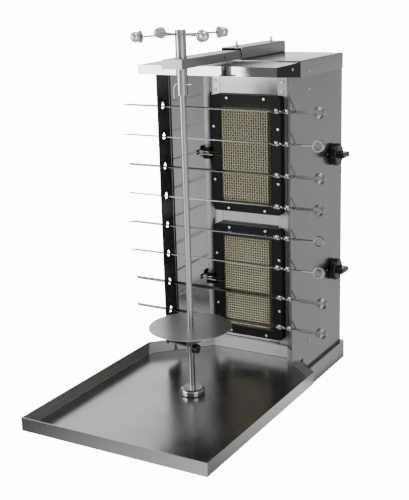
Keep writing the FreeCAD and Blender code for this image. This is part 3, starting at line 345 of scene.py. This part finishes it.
def brushed_sheet(name, tone, along, roughness):
    """Steel with belt lines that run along one axis, or two where it lies level."""
    material, tree, place = new_material(name)
    per_metre = [1000 / line_mm] * 3
    for axis in along:
        per_metre["XYZ".index(axis)] = 1000 / run_mm
    fine = add_node(tree, "ShaderNodeMapping", {"Scale": per_metre}, {"Vector": place})
    lines = noise(tree, fine.outputs["Vector"], 1.0, 3.0, 0.6)
    band_scale = [scale / lines_per_band for scale in per_metre]
    broad = add_node(tree, "ShaderNodeMapping", {"Scale": band_scale}, {"Vector": place})
    bands = noise(tree, broad.outputs["Vector"], 1.0, 2.0)
    clouds = noise(tree, place, clouds_per_metre, 2.0)
    low = roughness - gloss_below
    high = roughness + gloss_above
    both = add_node(tree, "ShaderNodeMath", {"operation": "MULTIPLY"})
    tree.links.new(ranged(tree, lines, *line_tones), both.inputs[0])
    tree.links.new(ranged(tree, bands, *band_tones), both.inputs[1])
    colour = add_node(
        tree,
        "ShaderNodeVectorMath",
        {"operation": "SCALE", "Vector": linear(tone)[:3]},
        {"Scale": both.outputs["Value"]},
    )
    add_surface(
        tree,
        {"Metallic": 1.0},
        {
            "Base Color": colour.outputs["Vector"],
            "Roughness": ranged(tree, clouds, low, high, cloud_reach),
            "Normal": relief_normal(tree, lines, line_relief, line_depth),
        },
    )
    return material


upright_sheet = brushed_sheet("stainless_sheet_brushed_upright", "#828282", "Z", 0.22)
wing_sheet = brushed_sheet("stainless_sheet_bright", "#868686", "Z", 0.09)
flange_sheet = brushed_sheet("stainless_flange_satin", "#c8c8c8", "Z", 0.5)
# The right wing is rougher and paler than the left; its paler tone is painted light that lifts
# it from black to grey where it mirrors dark.
right_wing_painted_light_sheet = brushed_sheet("stainless_sheet_satin", "#b0b0b0", "Z", 0.55)
side_sheet = brushed_sheet("stainless_sheet_satin_dark", "#8c8c8c", "Z", 0.34)
back_sheet = brushed_sheet("stainless_sheet_reflector", "#828282", "Z", 0.1)
level_sheet = brushed_sheet("stainless_sheet_brushed_level", "#8c8c8c", "XY", 0.22)
tray_sheet = brushed_sheet("stainless_sheet_tray", "#8c8c8c", "Y", 0.22)
# The paler tone of the tray's inward walls is painted light that lifts their shade.
tray_wall_painted_light_sheet = brushed_sheet("stainless_sheet_tray_wall_painted_light", "#c0c0c0", "XY", 0.45)
deep_sheet = brushed_sheet("stainless_sheet_brushed_front_to_back", "#8e8e8e", "Y", 0.2)
arm_sheet = brushed_sheet("stainless_tube_satin", "#9a9a9a", "Y", 0.34)
plate_sheet = brushed_sheet("stainless_disc_satin", "#a0a0a0", "X", 0.32)
lip_sheet = brushed_sheet("stainless_sheet_polished", "#b4b4b4", "X", 0.05)
# The bracket under the meat plate gets a darker tone: painted shade under the plate.
strap_painted_shade_sheet = brushed_sheet("steel_strap_painted_shade", "#6a6a6a", "X", 0.35)
print("brushed sheets", len([m for m in bpy.data.materials if "sheet" in m.name]))

# %% [markdown]
# The tray and the hood are folded from one sheet each, but they are ground in more than
# one way: the tray's end walls along their height and the lip of the hood to a polish. The
# inside of the tray's other walls is rougher and paler; the paler tone is painted light
# that lifts their shade.

# %% Sheets on their parts
square_on = 0.9
upright_slope = 0.5
tray_middle_y = -0.15
lip_front_y = -0.024


def faces_inward(centre, normal):
    """True on an upright face of the tray that looks towards the tray's middle."""
    inward = normal.x * centre.x + normal.y * (centre.y - tray_middle_y) < 0
    return abs(normal.z) < upright_slope and inward


dress(upright_sheet, "right_side_panel", "rear_panel")
dress(side_sheet, "left_side_panel")
dress(back_sheet, "burner_back_plate")
dress(wing_sheet, "left_wing")
# Painted light: the right wing's paler tone lifts the dark that it mirrors.
dress(right_wing_painted_light_sheet, "right_wing")
dress(level_sheet, "base_plinth")
# Painted shade: the bracket under the plate is darkened.
dress(strap_painted_shade_sheet, "plate_bracket")
dress(tray_sheet, "drip_tray")
dress_where(upright_sheet, "drip_tray", lambda centre, normal: abs(normal.y) > square_on)
# Painted light: the inward walls get a paler tone that lifts their shade.
dress_where(tray_wall_painted_light_sheet, "drip_tray", faces_inward)
dress(deep_sheet, "top_cover", "hood")
dress(arm_sheet, "arm_socket", "arm_tube")
dress(plate_sheet, "meat_plate")
dress_where(
    lip_sheet,
    "hood",
    lambda centre, normal: centre.y < lip_front_y and normal.y < -square_on,
)
print("tray finishes", [m.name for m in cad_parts["drip_tray"].data.materials])

# %% [markdown]
# Turned and polished steel: the rod, the sleeve, the star with its balls and the foot
# are worked on a lathe and buffed. Only a slight haze is left. Brass gas fittings and
# zinc plated fasteners shine in the same way.

# %% Turned and polished metal
haze_per_metre = 60.0
haze = 0.03


def polished_steel(name, tone, roughness):
    """Smooth metal whose gloss varies a little."""
    material, tree, place = new_material(name)
    pattern = noise(tree, place, haze_per_metre, 3.0)
    gloss = ranged(tree, pattern, roughness, roughness + haze)
    add_surface(tree, {"Metallic": 1.0, "Base Color": linear(tone)}, {"Roughness": gloss})
    return material


turned_steel = polished_steel("stainless_bar_turned", "#a8a8a8", 0.24)
bright_steel = polished_steel("stainless_polished", "#b4b4b4", 0.12)
satin_steel = polished_steel("stainless_satin", "#d8d8d8", 0.3)
# A dark tone for six skewers' blades: a painted reflection of the dark that they mirror.
blade_painted_reflection_steel = polished_steel("stainless_strip_painted_dark_reflection", "#2e2e2e", 0.3)
skewer_steel = polished_steel("stainless_strip_rolled", "#787878", 0.2)
black_steel = polished_steel("steel_black_oxide", "#3c3c3c", 0.35)
screw_steel = polished_steel("steel_nickel_plated", "#dcdcdc", 0.3)
ring_steel = polished_steel("stainless_strip_satin", "#a8a8a8", 0.4)
dark_steel = polished_steel("steel_heat_blued", "#4a4642", 0.4)
zinc_steel = polished_steel("steel_zinc_plated", "#b0b2b6", 0.3)
brass = polished_steel("brass_turned", "#968566", 0.35)
nickel = polished_steel("brass_nickel_plated", "#9c9890", 0.35)
dress(turned_steel, "spindle_sleeve", "spindle_rod", "plate_collar")
dress(turned_steel, "upper_tap_spindle", "lower_tap_spindle")
dress(black_steel, "thumb_screw")
dress(bright_steel, "star_handle", "locking_pin", "foot_puck")
dress(satin_steel, "star_knobs")
dress(zinc_steel, "cabinet_screws", "burner_screws", "front_clamp_bolt", "rear_clamp_bolt")
dress(zinc_steel, "gas_pipes", "gas_manifold", "upper_burner_housing", "lower_burner_housing")
dress(zinc_steel, "upper_mixing_tube", "lower_mixing_tube")
dress(brass, "injectors", "upper_gas_tap", "lower_gas_tap", "gas_inlet", "spindle_bush")
dress(brass, "upper_tap_plunger", "lower_tap_plunger")
print("materials so far", len(bpy.data.materials))

# %% [markdown]
# The skewers are rolled strip. From left to right each has a blade outside the cabinet,
# a middle, a polished handle and a satin ring. On six of them the blade is painted dark,
# a painted reflection of the dark that those blades mirror; on two of them the blade
# keeps the middle's steel.

# %% Skewers, finished by place, with a painted reflection on six blades
skewer_count = 8
skewers_without_painted_blade = (3, 7)
blade_end_x = -0.178
handle_start_x = 0.1
ring_start_x = 0.19
for index in range(1, skewer_count + 1):
    skewer = f"skewer_{index}"
    dress(skewer_steel, skewer)
    # Painted reflection: this blade is given the dark tone of what it mirrors.
    if index not in skewers_without_painted_blade:
        dress_where(blade_painted_reflection_steel, skewer, lambda centre, normal: centre.x < blade_end_x)
    dress_where(bright_steel, skewer, lambda centre, normal: centre.x > handle_start_x)
    dress_where(ring_steel, skewer, lambda centre, normal: centre.x > ring_start_x)
print("skewers", skewer_count)

# %% [markdown]
# Black parts: the burner frames are enamelled steel, the knobs are moulded phenolic
# plastic and the feet are rubber. They differ in gloss and in how grainy they are. The
# hood's cheeks get the frames' black as a painted reflection of the dark that their steel
# mirrors. The tiles and the igniters' beads are ceramic; the tiles get a dark tone as
# painted shade, where they sit behind the mesh.

# %% Black enamel, phenolic and rubber; ceramic; painted reflection and painted shade
grain_depth = 0.0003
cheek_front_y = -0.026


def plain_finish(name, tone, roughness, grain_mm, relief, spread=0.06, gleam=0.5):
    """A finish of one colour with a grain that shows in its relief and its gloss."""
    material, tree, place = new_material(name)
    grain = noise(tree, place, 1000 / grain_mm, 4.0, 0.55)
    add_surface(
        tree,
        {"Base Color": linear(tone), "Specular IOR Level": gleam},
        {
            "Roughness": ranged(tree, grain, roughness - spread, roughness + spread),
            "Normal": relief_normal(tree, grain, relief, grain_depth),
        },
    )
    return material


black_enamel_and_painted_reflection = plain_finish("heat_resistant_enamel_black_and_painted_reflection", "#141415", 0.5, 1.2, 0.1, gleam=0.15)
phenolic = plain_finish("phenolic_black", "#121213", 0.3, 2.0, 0.04, gleam=0.4)
rubber = plain_finish("rubber_black", "#202020", 0.7, 1.0, 0.2)
ceramic = plain_finish("ceramic_glazed", "#e2e0d8", 0.4, 1.5, 0.1)
# The tiles' dark tone is painted shade, where they sit behind the mesh.
painted_shade_tiles = plain_finish("ceramic_tile_painted_shade", "#4a4740", 0.8, 2.5, 0.5)
dress(black_enamel_and_painted_reflection, "upper_burner_frame", "lower_burner_frame", "igniter_brackets")
dress(phenolic, "upper_knob", "lower_knob")
dress(rubber, "rubber_feet")
dress(painted_shade_tiles, "burner_tiles")
# The hood's cheeks get the black enamel as a painted reflection of the dark that their steel
# mirrors.
dress_where(
    black_enamel_and_painted_reflection,
    "hood",
    lambda centre, normal: abs(normal.x) > square_on and centre.y > cheek_front_y,
)
print("hood finishes", [m.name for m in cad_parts["hood"].data.materials])

# %% [markdown]
# Each igniter is one rod with four finishes along it: a black lead, a white ceramic bead,
# a plated tube in the bracket and a tip that the flame has blued.

# %% Igniter rods, finished by place
lead_end_x = -0.1231
bead_end_x = -0.1139
tube_end_x = -0.094
for rod in ("thermocouples", "spark_electrodes"):
    dress(dark_steel, rod)
    dress_where(rubber, rod, lambda centre, normal: centre.x < lead_end_x)
    dress_where(ceramic, rod, lambda centre, normal: lead_end_x <= centre.x < bead_end_x)
    dress_where(nickel, rod, lambda centre, normal: bead_end_x <= centre.x < tube_end_x)
    print(rod, len(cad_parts[rod].data.materials), "finishes")

# %% [markdown]
# The floor's paper is matt and glows as strongly as the backdrop above its far edge, so
# that no line shows where they meet.

# %% Paper of the floor
floor_finish = plain_finish("studio_paper", "#f4f4f4", 0.9, 40.0, 0.0, 0.02)
paper = next(n for n in floor_finish.node_tree.nodes if n.type == "BSDF_PRINCIPLED")
paper.inputs["Emission Color"].default_value = white
paper.inputs["Emission Strength"].default_value = paper_glow
floor_finish.cycles.emission_sampling = "NONE"
floor.data.materials.append(floor_finish)
print("floor finish", floor_finish.name)

# %% [markdown]
# In front of each burner's tiles a woven wire mesh keeps dripping fat off the ceramic
# and glows when it is hot. The heat has turned its steel straw-coloured. The weave is
# modelled as real wires: one long wire is waved over and under at every crossing,
# repeated, and laid across wires that run the other way. Along its four sides the mesh
# bends back into the frame, in a few steps, and is darkened there as painted shade,
# where it tucks behind the frame.

# %% One wire, and its repeats
mesh_pitch = 0.00625
wire_radius = 0.00115
wire_sides = 6
weave_depth = 0.0011


def waved_wire(name, along, length, first_sign):
    """One wire across the mesh, bent forward or back at each crossing."""
    crossings = round(length / mesh_pitch)
    turn = (0, math.pi / 2, 0) if along == 0 else (0, 0, 0)
    bpy.ops.object.select_all(action="DESELECT")
    bpy.ops.mesh.primitive_cylinder_add(
        vertices=wire_sides,
        radius=wire_radius,
        depth=crossings * mesh_pitch,
        end_fill_type="NGON",
        rotation=turn,
    )
    wire = bpy.context.object
    wire.name = name
    bpy.ops.object.transform_apply(location=False, rotation=True, scale=True)
    bpy.ops.object.mode_set(mode="EDIT")
    bpy.ops.mesh.select_all(action="DESELECT")
    bpy.ops.object.mode_set(mode="OBJECT")
    for edge in wire.data.edges:
        a, b = (wire.data.vertices[i].co for i in edge.vertices)
        edge.select = abs(a[along] - b[along]) > length / 2
    bpy.ops.object.mode_set(mode="EDIT")
    bpy.ops.mesh.subdivide(number_cuts=crossings - 1)
    for sign in (1, -1):
        bpy.ops.mesh.select_all(action="DESELECT")
        bpy.ops.object.mode_set(mode="OBJECT")
        for vertex in wire.data.vertices:
            step = round((vertex.co[along] + crossings * mesh_pitch / 2) / mesh_pitch)
            vertex.select = (step % 2 == 0) == (sign == first_sign)
        bpy.ops.object.mode_set(mode="EDIT")
        bpy.ops.transform.translate(value=(0, sign * weave_depth, 0))
    bpy.ops.object.mode_set(mode="OBJECT")
    return wire


def repeat_wire(wire, across, first, count):
    """Sets the wire at its first place and repeats it at every second crossing."""
    wire.location[across] = first
    bpy.ops.object.transform_apply(location=True, rotation=False, scale=False)
    array = wire.modifiers.new("rows", "ARRAY")
    array.use_relative_offset = False
    array.use_constant_offset = True
    offset = [0, 0, 0]
    offset[across] = 2 * mesh_pitch
    array.constant_offset_displace = offset
    array.count = count
    bpy.ops.object.modifier_apply(modifier=array.name)


def join_as(name, parts):
    """Joins the parts into one piece of that name."""
    bpy.ops.object.select_all(action="DESELECT")
    for part in parts:
        part.select_set(True)
    bpy.context.view_layer.objects.active = parts[0]
    bpy.ops.object.join()
    piece = bpy.context.object
    piece.name = name
    return piece


print("mesh pitch", mesh_pitch * 1000, "mm")

# %% Woven wire mesh
mesh_columns = 22
mesh_rows = 39
border_width = 0.0075
border_depth = 0.0085
border_steps = 4
step_width = 0.0022
mesh_stand_off = 0.0022
straw_wire = polished_steel("wire_mesh_straw_tinted", "#cbc6ac", 0.34)
# The border wires' darker tone is painted shade, where the mesh tucks into the frame.
border_painted_shade_wire = polished_steel("wire_mesh_painted_shade", "#6e6a58", 0.5)
mesh_width = mesh_columns * mesh_pitch
mesh_height = mesh_rows * mesh_pitch


def in_border(point, inset):
    """True for a point of the mesh that is nearer to a side than the inset."""
    beyond_x = abs(point.x) > mesh_width / 2 - inset
    beyond_z = abs(point.z) > mesh_height / 2 - inset
    return beyond_x or beyond_z


def woven_mesh(name, node):
    """The mesh of one burner, woven about its centre and then set before the tiles."""
    low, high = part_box(node)
    centre = (low + high) / 2
    wires = []
    for sign in (1, -1):
        level_wire = waved_wire(f"{name}_weft", 0, mesh_width, sign)
        first = -mesh_height / 2 + mesh_pitch * (0.5 + (sign < 0))
        repeat_wire(level_wire, 2, first, (mesh_rows + (sign > 0)) // 2)
        wires.append(level_wire)
        upright_wire = waved_wire(f"{name}_warp", 2, mesh_height, -sign)
        first = -mesh_width / 2 + mesh_pitch * (0.5 + (sign < 0))
        repeat_wire(upright_wire, 0, first, mesh_columns // 2)
        wires.append(upright_wire)
    piece = join_as(name, wires)
    bpy.ops.object.mode_set(mode="EDIT")
    for step in range(border_steps):
        bpy.ops.mesh.select_all(action="DESELECT")
        bpy.ops.object.mode_set(mode="OBJECT")
        for vertex in piece.data.vertices:
            vertex.select = in_border(vertex.co, border_width - step * step_width)
        bpy.ops.object.mode_set(mode="EDIT")
        bpy.ops.transform.translate(value=(0, border_depth / border_steps, 0))
    bpy.ops.object.mode_set(mode="OBJECT")
    piece.data.materials.append(straw_wire)
    piece.data.materials.append(border_painted_shade_wire)
    # Faces near a side take the darker wire: painted shade where the mesh tucks into the frame.
    for face in piece.data.polygons:
        face.material_index = int(in_border(face.center, border_width))
    piece.location = (centre.x, low.y + mesh_stand_off, centre.z)
    bpy.ops.object.transform_apply(location=True, rotation=False, scale=False)
    bpy.ops.object.shade_smooth()
    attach(piece, "cabinet")
    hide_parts(node)
    print(name, len(piece.data.polygons), "faces")


woven_mesh("upper_wire_mesh", "upper_burner_mesh")
woven_mesh("lower_wire_mesh", "lower_burner_mesh")

# %% [markdown]
# Sheet metal screws hold the cabinet and the burner frames. One is modelled: a rounded
# head with a cross recess. It is copied to every place, each turned a little further
# round, as a fitter leaves them.

# %% Cross recess screw
head_radius = 0.0036
head_sides = 20
head_height = 0.0018
head_rounding = head_height * 0.62
rounding_steps = 3
near_top = head_height * 0.9
recess_width = 0.0008
recess_length = 0.0038
recess_depth = 0.0009
turn_between_screws = 37
screw_smooth_angle = math.radians(40)


def model_screw():
    """A screw head that stands on the level of zero and points up."""
    bpy.ops.object.select_all(action="DESELECT")
    bpy.ops.mesh.primitive_cylinder_add(
        vertices=head_sides,
        radius=head_radius,
        depth=head_height,
        location=(0, 0, head_height / 2),
    )
    head = bpy.context.object
    head.name = "screw_head"
    bpy.ops.object.transform_apply(location=True, rotation=False, scale=False)
    for edge in head.data.edges:
        ends = [head.data.vertices[i].co.z for i in edge.vertices]
        edge.select = min(ends) > near_top
    bpy.ops.object.mode_set(mode="EDIT")
    bpy.ops.mesh.select_mode(type="EDGE")
    bpy.ops.mesh.bevel(offset=head_rounding, segments=rounding_steps, affect="EDGES")
    bpy.ops.mesh.select_mode(type="VERT")
    bpy.ops.object.mode_set(mode="OBJECT")
    for width, length in ((recess_width, recess_length), (recess_length, recess_width)):
        bpy.ops.object.select_all(action="DESELECT")
        bpy.ops.mesh.primitive_cube_add(size=1, location=(0, 0, head_height))
        slot_tool = bpy.context.object
        slot_tool.scale = (width, length, recess_depth * 2)
        bpy.ops.object.transform_apply(location=True, rotation=False, scale=True)
        cut = head.modifiers.new("recess", "BOOLEAN")
        cut.operation = "DIFFERENCE"
        cut.object = slot_tool
        bpy.context.view_layer.objects.active = head
        bpy.ops.object.modifier_apply(modifier=cut.name)
        bpy.data.objects.remove(slot_tool)
    return head


def set_screws(name, node, places):
    """Copies the screw to each place, with its axis along the way it points."""
    copies = []
    for index, (place, way) in enumerate(places):
        copy = screw.copy()
        copy.data = screw.data.copy()
        bpy.context.scene.collection.objects.link(copy)
        turn = Vector(way).to_track_quat("Z", "Y").to_matrix().to_4x4()
        spin = Matrix.Rotation(math.radians(turn_between_screws * index), 4, "Z")
        copy.matrix_world = Matrix.Translation(place) @ turn @ spin
        copies.append(copy)
    piece = join_as(name, copies)
    bpy.ops.object.transform_apply(location=True, rotation=True, scale=True)
    bpy.ops.object.shade_smooth_by_angle(angle=screw_smooth_angle)
    piece.data.materials.append(screw_steel)
    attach(piece, "cabinet")
    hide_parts(node)
    print(name, len(copies), "screws,", len(piece.data.polygons), "faces")


screw = model_screw()
print("screw head", len(screw.data.polygons), "faces")

# %% [markdown]
# The cabinet's screws sit in pairs, one on each side of the grill. Each burner frame has
# eight, four along its upright sides and four along its level ones.

# %% Screws in their places
toward_front = (0, -1, 0)
panel_x = 0.175
panel_screw_y = 0.140
panel_screw_heights = (0.121, 0.433, 0.729)
cover_x = 0.1762
cover_screws = ((0.137, 0.7695), (0.049, 0.7802))
plinth_screw = (0.182, 0.218, 0.0428)
wall_screw_x = 0.090
wall_screw_y = 0.1778
wall_screw_heights = (0.715, 0.737)
cabinet_places = []
for side in (-1, 1):
    out = (side, 0, 0)
    for height in panel_screw_heights:
        cabinet_places.append(((side * panel_x, panel_screw_y, height), out))
    for depth, height in cover_screws:
        cabinet_places.append(((side * cover_x, depth, height), out))
    cabinet_places.append(((side * plinth_screw[0], *plinth_screw[1:]), out))
    for height in wall_screw_heights:
        cabinet_places.append(((side * wall_screw_x, wall_screw_y, height), toward_front))
set_screws("cabinet_screw_heads", "cabinet_screws", cabinet_places)

burner_middles = (0.562, 0.240)
frame_face_y = 0.1598
upright_side = (0.087, 0.066)
level_side = (0.050, 0.136)
frame_places = []
for middle in burner_middles:
    for side in (-1, 1):
        for across, rise in (upright_side, level_side):
            for height in (middle - rise, middle + rise):
                frame_places.append(((side * across, frame_face_y, height), toward_front))
set_screws("burner_screw_heads", "burner_screws", frame_places)
bpy.data.objects.remove(screw)

# %% [markdown]
# Where each wing meets its side panel the sheet is folded back on itself, and where the
# left wing nears the burners its edge is lined with a satin strip. Both catch the light
# as thin upright lines.

# %% Folded hems and the strip on the wing
wing_low = 0.102
wing_high = 0.752
hem_x = 0.1726
hem_y = 0.0985
hem_half_sizes = (0.0013, 0.0038)
flange_place = (-0.1098, 0.1693)
flange_half_sizes = (0.0085, 0.0007)
flange_turn = 45
strip_sides = 16
strip_smooth_angle = math.radians(50)


def upright_strip(name, place, half_sizes, turn, finish):
    """A flattened rod that stands between the wing's lower and upper edge."""
    bpy.ops.object.select_all(action="DESELECT")
    bpy.ops.mesh.primitive_cylinder_add(
        vertices=strip_sides, radius=1, depth=wing_high - wing_low
    )
    strip = bpy.context.object
    strip.name = name
    strip.scale = (*half_sizes, 1)
    strip.rotation_euler = (0, 0, math.radians(turn))
    strip.location = (*place, (wing_low + wing_high) / 2)
    bpy.ops.object.transform_apply(location=True, rotation=True, scale=True)
    bpy.ops.object.shade_smooth_by_angle(angle=strip_smooth_angle)
    strip.data.materials.append(finish)
    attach(strip, "cabinet")
    print(name, len(strip.data.polygons), "faces")


upright_strip("left_hem", (-hem_x, hem_y), hem_half_sizes, 0, upright_sheet)
upright_strip("right_hem", (hem_x, hem_y), hem_half_sizes, 0, upright_sheet)
upright_strip("wing_edge_strip", flange_place, flange_half_sizes, flange_turn, flange_sheet)

# %% [markdown]
# Three plain printed dashes on the right panel mark each knob's positions. They are laid
# on the sheet in a ring that is a little wider than the knob.

# %% Printed dashes at the knobs
dash_print = plain_finish("printing_ink_pale", "#d4d4d0", 0.5, 1.5, 0.05)
dash_length = 0.007
dash_width = 0.0018
dash_thickness = 0.0002
dash_ring = 0.0345
dash_angles = (172, 236, 300)
dashes = []
for knob in ("upper_knob", "lower_knob"):
    low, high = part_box(knob)
    middle = (low + high) / 2
    on_panel = Vector((panel_x + dash_thickness / 2, middle.y, middle.z))
    for angle in dash_angles:
        way = Vector((0, math.cos(math.radians(angle)), math.sin(math.radians(angle))))
        bpy.ops.object.select_all(action="DESELECT")
        bpy.ops.mesh.primitive_cube_add(size=1)
        dash = bpy.context.object
        dash.scale = (dash_thickness, dash_length, dash_width)
        dash.rotation_euler = (math.radians(angle), 0, 0)
        dash.location = on_panel + way * dash_ring
        bpy.ops.object.transform_apply(location=True, rotation=True, scale=True)
        dashes.append(dash)
dash_count = len(dashes)
dash_piece = join_as("knob_dashes", dashes)
dash_piece.data.materials.append(dash_print)
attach(dash_piece, "cabinet")
print("dashes", dash_count)
